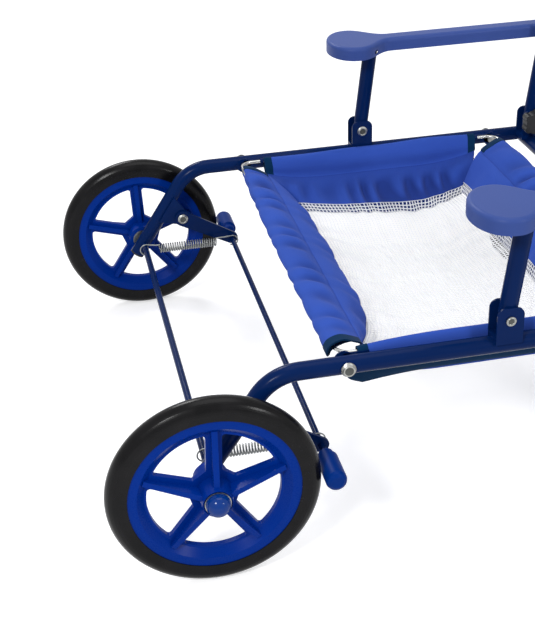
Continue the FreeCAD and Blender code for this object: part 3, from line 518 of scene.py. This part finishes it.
def side_folds(seed, rise, belly, gathered, hem_drop):
    """Flat sleeve beside the rail, over a gathered skirt.

    rise and gathered are functions of the place along the wire: how far the sleeve stands up, and how
    strongly the skirt is gathered. belly is how far the hem sags inward, and hem_drop how far it hangs down.
    """
    gather_pitch, gather_depth = 34.0, 3.4
    sag_middle = 225.0          # millimetres along the wire to the middle of the sag

    def fold(run, place, inward, up, near_first, near_last):
        free = 1 - 0.7 * np.maximum(near_first, near_last)
        seam = bump_at(place, seam_at, seam_spread)
        skirt, lower = ease((place - 8.1) / 1.4), ease((place - 9.0) / 2.0)
        sleeve, top, crease = bump_at(place, 6.9, 0.9), bump_at(place, 5.0, 1.5), bump_at(place, 7.3, 0.8)
        depth = 1.0 + 0.35 * waves(run, 0 * run, seed + 11, 90.0)
        drift = 0.45 * waves(run, 0 * run, seed, 60.0)
        bow = 14.0 * ((place - 9.6) / 1.6) ** 2
        gather = np.sin(2 * math.pi * ((run - bow) / gather_pitch + drift)) * depth * gathered(run)
        slow = waves(run, place, seed + 3, 70.0)
        sag = lower * belly * free * (1 - ((run - sag_middle) / sag_middle) ** 2)
        drop = ease((place - 8.5) / 2.5) * free * hem_drop * ease((run - 140) / 150.0)
        inward = inward + free * (skirt * (2.4 * gather + 2.0 * slow) + sleeve * 1.3 * slow) \
            - seam * seam_pull + sag
        up = up + top * rise(run) * free \
            + free * (skirt * gather_depth * gather * (1 - 0.9 * lower) + top * 0.8 * slow) \
            - drop - 2.5 * crease * free
        return inward, up
    return fold


def cloth_sheet(name, grid, lengthwise, crosswise, **marks):
    """A mesh sheet from a grid of points, with a UV map in metres and a point attribute for each mark."""
    rows, columns = grid.shape[:2]
    firsts = [row * columns + column for row in range(rows - 1) for column in range(columns - 1)]
    faces = [(first, first + 1, first + columns + 1, first + columns) for first in firsts]
    mesh = bpy.data.meshes.new(name)
    mesh.from_pydata(grid.reshape(-1, 3).tolist(), [], faces)
    laid_out = mesh.uv_layers.new(name="cloth")
    flat = np.stack([lengthwise, crosswise], -1).reshape(-1, 2)
    laid_out.data.foreach_set("uv", flat[np.array(faces).ravel()].ravel())
    for mark_name, values in marks.items():
        mark = mesh.attributes.new(mark_name, "FLOAT", "POINT")
        mark.data.foreach_set("value", np.broadcast_to(values, grid.shape[:2]).ravel())
    piece = bpy.data.objects.new(name, mesh)
    bpy.context.scene.collection.objects.link(piece)
    return piece


def thicken(piece, thickness):
    """Give a sheet its thickness on both sides, with smooth shading."""
    bpy.ops.object.select_all(action="DESELECT")
    piece.select_set(True)
    bpy.context.view_layer.objects.active = piece
    wall = piece.modifiers.new("wall", "SOLIDIFY")
    wall.thickness, wall.offset = thickness, 0.0
    bpy.ops.object.modifier_apply(modifier=wall.name)
    bpy.ops.object.shade_smooth_by_angle(angle=math.radians(60))
    piece.select_set(False)
    return piece


def lengths(grid, axis):
    """Distance along the cloth from its first row or column, at each point of a grid."""
    steps = np.linalg.norm(np.diff(grid, axis=axis), axis=-1)
    start = np.zeros_like(np.take(steps, [0], axis=axis))
    return np.concatenate([start, np.cumsum(steps, axis=axis)], axis=axis)


def left_rise(run):
    return 5.0 * np.clip((run - 60) / 240.0, 0, 1)


def left_gather(run):
    return 1.3 + 0.2 * ease((run - 130) / 90.0)


def right_rise(run):
    return 3.0 * np.clip((ring_length / mm - run) / 200.0, 0, 1)


def right_gather(run):
    return 1.0 + 0 * run


panels = {
    "rear": Panel((ring_rear, -ring_half_w, ring_z), (0, 1, 0), (1, 0, 0), 2 * ring_half_w, end_profile,
                  open_corner, end_corner, end_folds(1.0, 1.0)),
    "left": Panel((ring_rear, ring_half_w, ring_z), (1, 0, 0), (0, -1, 0), ring_length, left_profile,
                  side_corner + turned_over(mitre), side_corner + turned_over(mitre),
                  side_folds(2.0, left_rise, 16.0, left_gather, 11.0)),
    "front": Panel((ring_front, ring_half_w, ring_z), (0, -1, 0), (-1, 0, 0), 2 * ring_half_w, end_profile,
                   end_corner, end_corner, end_folds(3.0, 0.6)),
    "right": Panel((ring_front, -ring_half_w, ring_z), (-1, 0, 0), (0, 1, 0), ring_length, right_profile,
                   side_corner + turned_over(mitre), drawn_corner + turned_over(drawn_mitre),
                   side_folds(4.0, right_rise, 16.0, right_gather, 0.0)),
}
navy_hem_from = lap_from = 10.32     # place on the profile where the cloth turns navy and the net's edge begins
seam_line = seam_at + 0.06           # place of the stitches
stitch_pitch = 3.2 * mm


def woven(name, colour, shade, pitch):
    """Plain weave with a little slub, painted shade in its folds, stitches at the seam and a navy hem."""
    weave = Finish(name, Specular_IOR_Level=0.06, Sheen_Weight=0.04, Sheen_Roughness=0.5)
    axes = weave.node("SeparateXYZ", {}, Vector=weave.node("UVMap", {"uv_map": "cloth"}))
    object_place = weave.node("TexCoord", {})["Object"]
    warp = (axes["X"] * (2 * math.pi / pitch)).math("SINE")
    weft = (axes["Y"] * (2 * math.pi / pitch)).math("SINE")
    slub = weave.node("TexNoise", {}, Vector=object_place, Scale=55.0, Detail=5.0)
    fade = weave.node("TexNoise", {}, Vector=object_place, Scale=7.0, Detail=3.0)
    threads = warp * weft * 0.5 + 0.5
    place = weave.node("Attribute", {"attribute_name": "place"})["Fac"]
    from_seam = (place - seam_line).math("ABSOLUTE")
    seam = 1 - (from_seam * 14.0).math("MINIMUM", 1.0)
    dash = ((axes["X"] * (1 / stitch_pitch)).math("FRACT") - 0.5).math("ABSOLUTE") * 2.0
    stitch = seam * (dash * 0.6 + 0.4)
    dyed = weave.node("Mix", {"data_type": "RGBA"}, Factor=threads * 0.25 + fade * 0.75, A=shade, B=colour)
    # painted shade: the cloth is mixed toward dark navy where its folds lie deep, and on the long skirts
    sunk = weave.node("Attribute", {"attribute_name": "sunk"})["Fac"]
    shaded = weave.node("Mix", {"data_type": "RGBA"}, Factor=(sunk * 0.1).math("MINIMUM", 0.7),
                        A=dyed, B=srgb(24, 40, 104))
    # the cloth is navy from the net's edge down to the hem
    hemmed = weave.node("Mix", {"data_type": "RGBA"}, Factor=(place > navy_hem_from) * 0.85,
                        A=shaded, B=srgb(8, 32, 92))
    sewn = weave.node("Mix", {"data_type": "RGBA"}, Factor=stitch * 0.55, A=hemmed, B=srgb(20, 36, 110))
    height = threads + slub * 0.8 - seam * 2.0
    bump = weave.node("Bump", {}, Strength=0.35, Distance=0.12 * mm, Height=height)
    return weave.connect(Base_Color=sewn, Roughness=slub * 0.16 + 0.74, Normal=bump)


blue_cloth = woven("blue_cloth", srgb(56, 88, 182), srgb(42, 72, 160), 0.9 * mm)
teal_tape = woven("teal_tape", srgb(4, 48, 84), srgb(2, 36, 66), 1.4 * mm)

profile_places = np.linspace(0, hem_at, 100)
cloth_step = 3.4              # millimetres between the rows of a panel's mesh
skirt_shade = {"rear": 0, "left": 2.6, "front": 0, "right": 2.6}    # the long skirts lie in the rails' shade
tape_w, tape_lap = 14.0, 0.8  # width of the binding, and how far it goes round the cut edge, in millimetres
end_tape_t, edge_tape_t = 2.2 * mm, 2.0 * mm


def sewn_tape(name, grid, thick):
    """A strip of the teal tape that the cloth's cut edges are bound with."""
    tape = cloth_sheet(name, grid, lengths(grid, 0), lengths(grid, 1))
    thicken(tape, thick)
    teal_tape.put_on(tape)
    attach(tape, "frame")
    return tape


for name, panel in panels.items():
    shares = np.linspace(0, 1, int(panel.length / cloth_step))
    grid = panel.points(shares, profile_places)
    across, down = lengths(grid, 1), lengths(grid, 0)
    # how much shade to paint into the cloth: its folds' depth, and more on the long skirts below the seams
    sunk = panel.sunk(shares, profile_places) + skirt_shade[name] * (profile_places > seam_line)
    piece = cloth_sheet("border_" + name, grid, down, across, place=profile_places, sunk=sunk)
    thicken(piece, cloth_t)
    blue_cloth.put_on(piece)
    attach(piece, "frame")
    for end, sign in ((0.0, 1), (1.0, -1)):
        strip = np.sort(end + sign * np.linspace(-tape_lap, tape_w, 6) / panel.length)
        bound = panel.points(strip, np.linspace(0, seam_at - 0.05, 57))
        sewn_tape("binding_%s_%d" % (name, 1 + int(end)), bound, end_tape_t)
    if name == "right":
        turning = panel.points(np.linspace(0.01, 0.99, 120), np.linspace(-0.03, 1.9, 10))
        sewn_tape("binding_turning", turning, edge_tape_t)
    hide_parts("basket_cloth")


# ==== basket net ====
# White knitted net with square holes. Its edge lies over the border's lower part, inside, and is sewn
# there; the middle sags under its own weight.
pan_low, pan_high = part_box("basket_mesh")
net_pitch = 5.0 * mm
net_thread = 1.7 * mm
net_t = 0.7 * mm
net_sag = 16 * mm
white_net = Finish("white_net", Specular_IOR_Level=0.1, Subsurface_Weight=0.8, Subsurface_Scale=4 * mm,
                   Subsurface_Radius=(1.0, 1.0, 1.0))
object_place = white_net.node("TexCoord", {})["Object"]
knit = white_net.node("TexNoise", {}, Vector=object_place, Scale=900.0, Detail=2.0)
white_net.connect(Base_Color=white_net.node("Mix", {"data_type": "RGBA"}, Factor=knit, A=srgb(240, 242, 247),
                                            B=srgb(254, 254, 255)),
                  Roughness=knit * 0.1 + 0.8,
                  Normal=white_net.node("Bump", {}, Strength=0.4, Distance=0.15 * mm, Height=knit))
rows_x = int(round((pan_high.x - pan_low.x) / net_pitch))
rows_y = int(round((pan_high.y - pan_low.y) / net_pitch))


def hem_line(name, count):
    """Evenly spread points on a panel's hem, in the panel's own direction."""
    return panels[name].points(np.linspace(0, 1, count + 1), np.array([float(hem_at)]))[:, 0]


def inside_of(grid, lift):
    """A grid moved by lift off the cloth that it lies on, toward the basket's middle."""
    along, across = np.gradient(grid, axis=0), np.gradient(grid, axis=1)
    normal = np.cross(along, across)
    normal /= np.linalg.norm(normal, axis=-1, keepdims=True)
    middle = np.array([(pan_low.x + pan_high.x) / 2, 0, ring_z])
    facing = np.sign(np.sum(normal * (middle - grid), axis=-1, keepdims=True))
    return grid + normal * facing * lift


def knitted(name, grid):
    """A sheet with square holes: each cell is inset on its own, and its middle deleted."""
    piece = cloth_sheet(name, grid, lengths(grid, 0), lengths(grid, 1))
    bpy.ops.object.select_all(action="DESELECT")
    piece.select_set(True)
    bpy.context.view_layer.objects.active = piece
    bpy.ops.object.mode_set(mode="EDIT")
    bpy.ops.mesh.select_all(action="SELECT")
    bpy.ops.mesh.inset(thickness=net_thread / 2, depth=0, use_individual=True)
    bpy.ops.mesh.delete(type="FACE")
    bpy.ops.object.mode_set(mode="OBJECT")
    return piece


rear_hem, front_hem = hem_line("rear", rows_y), hem_line("front", rows_y)[::-1]
right_hem, left_hem = hem_line("right", rows_x)[::-1], hem_line("left", rows_x)
fore = np.linspace(0, 1, rows_x + 1)[:, None, None]      # from the rear hem to the front one
over = np.linspace(0, 1, rows_y + 1)[None, :, None]      # from the right hem to the left one
aft, under = 1 - fore, 1 - over
pan = (aft * rear_hem[None] + fore * front_hem[None] + under * right_hem[:, None] + over * left_hem[:, None]
       - aft * under * rear_hem[0] - aft * over * rear_hem[-1]
       - fore * under * front_hem[0] - fore * over * front_hem[-1])
hang = np.minimum(1, 3.2 * np.minimum(fore, aft)) * np.minimum(1, 4.5 * np.minimum(over, under))
pan[..., 2] -= (net_sag * ease(hang))[..., 0]
net_pieces = [knitted("net_pan", pan)]
lap_places = np.linspace(lap_from, hem_at, 4)
for name, panel in panels.items():
    rows = rows_y if name in ("rear", "front") else rows_x
    lap = panel.points(np.linspace(0, 1, rows + 1), lap_places)
    net_pieces.append(knitted("net_lap_" + name, inside_of(lap, cloth_t / 2 + net_t)))
bpy.ops.object.select_all(action="DESELECT")
for piece in net_pieces:
    piece.select_set(True)
net = net_pieces[0]
bpy.context.view_layer.objects.active = net
bpy.ops.object.join()
net.name = "basket_net"
thicken(net, net_t)
white_net.put_on(net)
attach(net, "frame")
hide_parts("basket_mesh")


# ==== rivet and bolt ends ====
# The brake and post rivets are semi-tubular: their ends are rolled over into a bright rim round a hollow,
# which is painted darker as shade. The rail bolts' heads are dished in the same way.
hollow_shade = plated("rivet_hollow", srgb(92, 94, 92), 0.45)
dished = 0.6            # share of a head's radius painted darker as shade in the hollow
outer_share = 0.8       # a rivet's outer end is this much smaller than its inner head


def turned_on_y(name, centre, rings, sides=40):
    """A piece turned on a sideways axis: a disc, drawn out and resized ring by ring (along y, radius)."""
    bpy.ops.mesh.primitive_circle_add(vertices=sides, radius=rings[0][1], fill_type="NGON",
                                      location=centre + Vector((0, rings[0][0], 0)),
                                      rotation=(math.pi / 2, 0, 0))
    piece = bpy.context.object
    piece.name = name
    bpy.ops.object.transform_apply(location=True, rotation=True, scale=True)
    bpy.ops.object.mode_set(mode="EDIT")
    bpy.ops.mesh.select_all(action="SELECT")
    for (from_y, from_r), (to_y, to_r) in zip(rings, rings[1:]):
        bpy.ops.mesh.extrude_region_move(TRANSFORM_OT_translate={"value": (0, to_y - from_y, 0)})
        bpy.ops.transform.resize(value=(to_r / from_r, 1, to_r / from_r), center_override=centre)
    bpy.ops.mesh.select_all(action="SELECT")
    bpy.ops.mesh.normals_make_consistent(inside=False)
    bpy.ops.object.mode_set(mode="OBJECT")
    bpy.ops.object.shade_smooth_by_angle(angle=math.radians(40))
    piece.select_set(False)
    return piece


def roll_end(name, head, x, z, face_y, out):
    """A rolled rim on the crown of a head of radius head, at face_y. It faces out, 1 or -1 along y."""
    rim = [(-1.4, 0.8), (-0.2, 0.8), (0.35, 0.76), (0.55, 0.7), (0.45, 0.64), (0.1, 0.59), (0.08, 0.25)]
    piece = turned_on_y(name, Vector((x, face_y, z)), [(up * out * mm, share * head) for up, share in rim])
    zinc.put_on(piece)
    # the dished faces in the middle take a darker plating as painted shade
    piece.data.materials.append(hollow_shade.material)
    for face in piece.data.polygons:
        from_axis = math.hypot(face.center.x - x, face.center.z - z)
        if from_axis < dished * head and abs(face.normal.y) > 0.3:
            face.material_index = 1
    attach(piece, "frame")


bolt_r, bolt_z = (bolt_high.z - bolt_low.z) / 2, (bolt_low.z + bolt_high.z) / 2
# A brake rivet's outer end is set against its leg, so there the rolled rim faces in.
for stem, outer_faces in (("brake_rivets", -1), ("post_rivets", 1)):
    low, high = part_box(stem)
    middle, radius = (low + high) / 2, (high.z - low.z) / 2
    inner_y = min(abs(corner.co.y) for corner in nodes[stem].data.vertices)
    for side, way in zip(both, (1, -1)):
        roll_end("%s_roll_%s" % (stem, side), radius, middle.x, middle.z, way * inner_y, -way)
        roll_end("%s_outer_roll_%s" % (stem, side), outer_share * radius, middle.x, middle.z,
                 way * high.y, way * outer_faces)
for end, x in (("rear", bolt_low.x + bolt_r), ("front", bolt_high.x - bolt_r)):
    for side, way in zip(both, (1, -1)):
        roll_end("rail_bolt_roll_%s_%s" % (end, side), bolt_r, x, bolt_z, way * bolt_high.y, way)


# ==== hub caps ====
# Glossy blue push-on caps, moulded as smooth domes. Each one holds its wheel on the axle and hides
# the axle's end.
cap_plastic = moulded("cap_plastic", srgb(0, 52, 130), 0.14, 0.2, 200.0, 0.02)
brim = 2.0 * mm             # height of the cap's straight rim, below the dome
rim_round = 0.5 * mm
dome_steps = 12
dome_step = 7.2             # degrees of the dome in each step; the last ring leaves a small flat
for side, way in zip(both, (1, -1)):
    low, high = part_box("hub_cap_" + side)
    middle, cap_r = (low + high) / 2, (high.x - low.x) / 2
    inner, outer = (low.y, high.y) if way > 0 else (high.y, low.y)
    rings = [(0, cap_r - rim_round), (rim_round, cap_r), (brim, cap_r)]
    for step in range(1, dome_steps + 1):
        turn = math.radians(step * dome_step)
        rings.append((brim + (abs(outer - inner) - brim) * math.sin(turn), cap_r * math.cos(turn)))
    cap = turned_on_y("hub_dome_" + side, Vector((middle.x, inner, middle.z)),
                      [(way * out, radius) for out, radius in rings], 64)
    cap_plastic.put_on(cap)
    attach(cap, "rear_wheel_" + side)
    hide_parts("hub_cap_" + side)


# ==== ring clips ====
# Stamped steel tabs, painted with the frame. An eye is bolted to the rail's inner side, and a narrow
# strap from it is curled over the ring's wire.
clip_t = 1.8 * mm
eye_r = 11.5 * mm
strap_w = 5.5 * mm
eye_round = 0.4 * mm
strap_at = 28 * mm          # from the bolt along the rail to the middle of the strap
wire_clearance = 0.3 * mm
strap_r = (ring_high.z - ring_low.z) / 2 + wire_clearance + clip_t / 2
arm_reach = (0, 10, 20, 31)    # the arm narrows and rises from its eye; these three are in millimetres
arm_rise = (0, 2, 4, 5)
arm_half_w = (8, 6, 4, 3.5)
clips = []
for bolt_x, way in ((bolt_low.x + bolt_r, 1), (bolt_high.x - bolt_r, -1)):
    for side in (1, -1):
        eye = turned_on_y("clip_eye", Vector((bolt_x, side * rail_face, bolt_z)),
                          [(0, eye_r - eye_round), (-side * eye_round, eye_r),
                           (-side * (clip_t - eye_round), eye_r), (-side * clip_t, eye_r - eye_round)])
        grid = np.array([[(bolt_x + way * reach * mm, side * (rail_face - clip_t / 2),
                           bolt_z + rise * mm + edge * half_w * mm) for edge in (-1, 0, 1)]
                         for reach, rise, half_w in zip(arm_reach, arm_rise, arm_half_w)])
        arm = thicken(cloth_sheet("clip_arm", grid, lengths(grid, 0), lengths(grid, 1)), clip_t)
        curl = np.radians(np.arange(-30, 221, 25))
        grid = np.array([[(bolt_x + way * strap_at + across, side * (ring_half_w + strap_r * math.cos(turn)),
                           ring_z + strap_r * math.sin(turn)) for across in (-strap_w / 2, 0, strap_w / 2)]
                         for turn in curl])
        strap = thicken(cloth_sheet("clip_strap", grid, lengths(grid, 0), lengths(grid, 1)), clip_t)
        clips += [eye, arm, strap]
bpy.ops.object.select_all(action="DESELECT")
for piece in clips:
    piece.select_set(True)
bpy.context.view_layer.objects.active = clips[0]
bpy.ops.object.join()
clip_set = clips[0]
clip_set.name = "ring_clip_set"
frame_paint.put_on(clip_set)
clip_set.select_set(False)
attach(clip_set, "frame")
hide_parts("ring_clips")


# ==== armrests ====
# Moulded pads of mid blue plastic with a fine satin grain. Each is pinned to its post and bolted to the
# handle's tube, so it stays level as the cart folds.
arm_plastic = moulded("arm_plastic", srgb(57, 79, 146), 0.42, 0.12, 520.0, 0.12)
arm_plastic.put_on(nodes["armrest_left"], nodes["armrest_right"])


# ==== handle grip ====
# A sleeve of black foam rubber, pushed over the handle's top bar. Its ends are cut square, and their
# edges have softened.
grip_low, grip_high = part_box("handle_grip")
grip_middle = (grip_low + grip_high) / 2
grip_r = (grip_high.z - grip_low.z) / 2
bar_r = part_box("handle_frame")[1].z - grip_middle.z
edge_round = 3.0 * mm
foam = Finish("grip_foam", Roughness=0.9, Specular_IOR_Level=0.1)
place = foam.node("TexCoord", {})["Object"]
cells = foam.node("TexVoronoi", {"feature": "F1"}, Vector=place, Scale=900.0)["Distance"]
patches = foam.node("TexNoise", {}, Vector=place, Scale=40.0, Detail=4.0)
foam.connect(Base_Color=foam.node("Mix", {"data_type": "RGBA"}, Factor=patches, A=srgb(26, 26, 28),
                                  B=srgb(44, 44, 46)),
             Roughness=patches * 0.1 + 0.85,
             Normal=foam.node("Bump", {}, Strength=0.5, Distance=0.3 * mm, Height=cells))
bpy.ops.mesh.primitive_cylinder_add(vertices=64, radius=grip_r, depth=grip_high.y - grip_low.y,
                                    end_fill_type="NOTHING", location=grip_middle,
                                    rotation=(math.pi / 2, 0, 0))
grip = bpy.context.object
grip.name = "foam_grip"
bpy.ops.object.transform_apply(location=True, rotation=True, scale=True)
bpy.ops.object.mode_set(mode="EDIT")
bpy.ops.mesh.select_all(action="SELECT")
bpy.ops.mesh.normals_make_consistent(inside=False)
bpy.ops.mesh.subdivide(number_cuts=1)
bpy.ops.object.mode_set(mode="OBJECT")
wall = grip.modifiers.new("wall", "SOLIDIFY")
wall.thickness, wall.offset = grip_r - bar_r, -1.0
bpy.ops.object.modifier_apply(modifier=wall.name)
soft_edge = grip.modifiers.new("soft_edge", "BEVEL")
soft_edge.width, soft_edge.segments, soft_edge.limit_method = edge_round, 4, "ANGLE"
bpy.ops.object.modifier_apply(modifier=soft_edge.name)
bpy.ops.object.shade_smooth_by_angle(angle=math.radians(40))
grip.select_set(False)
foam.put_on(grip)
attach(grip, "handle")
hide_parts("handle_grip")
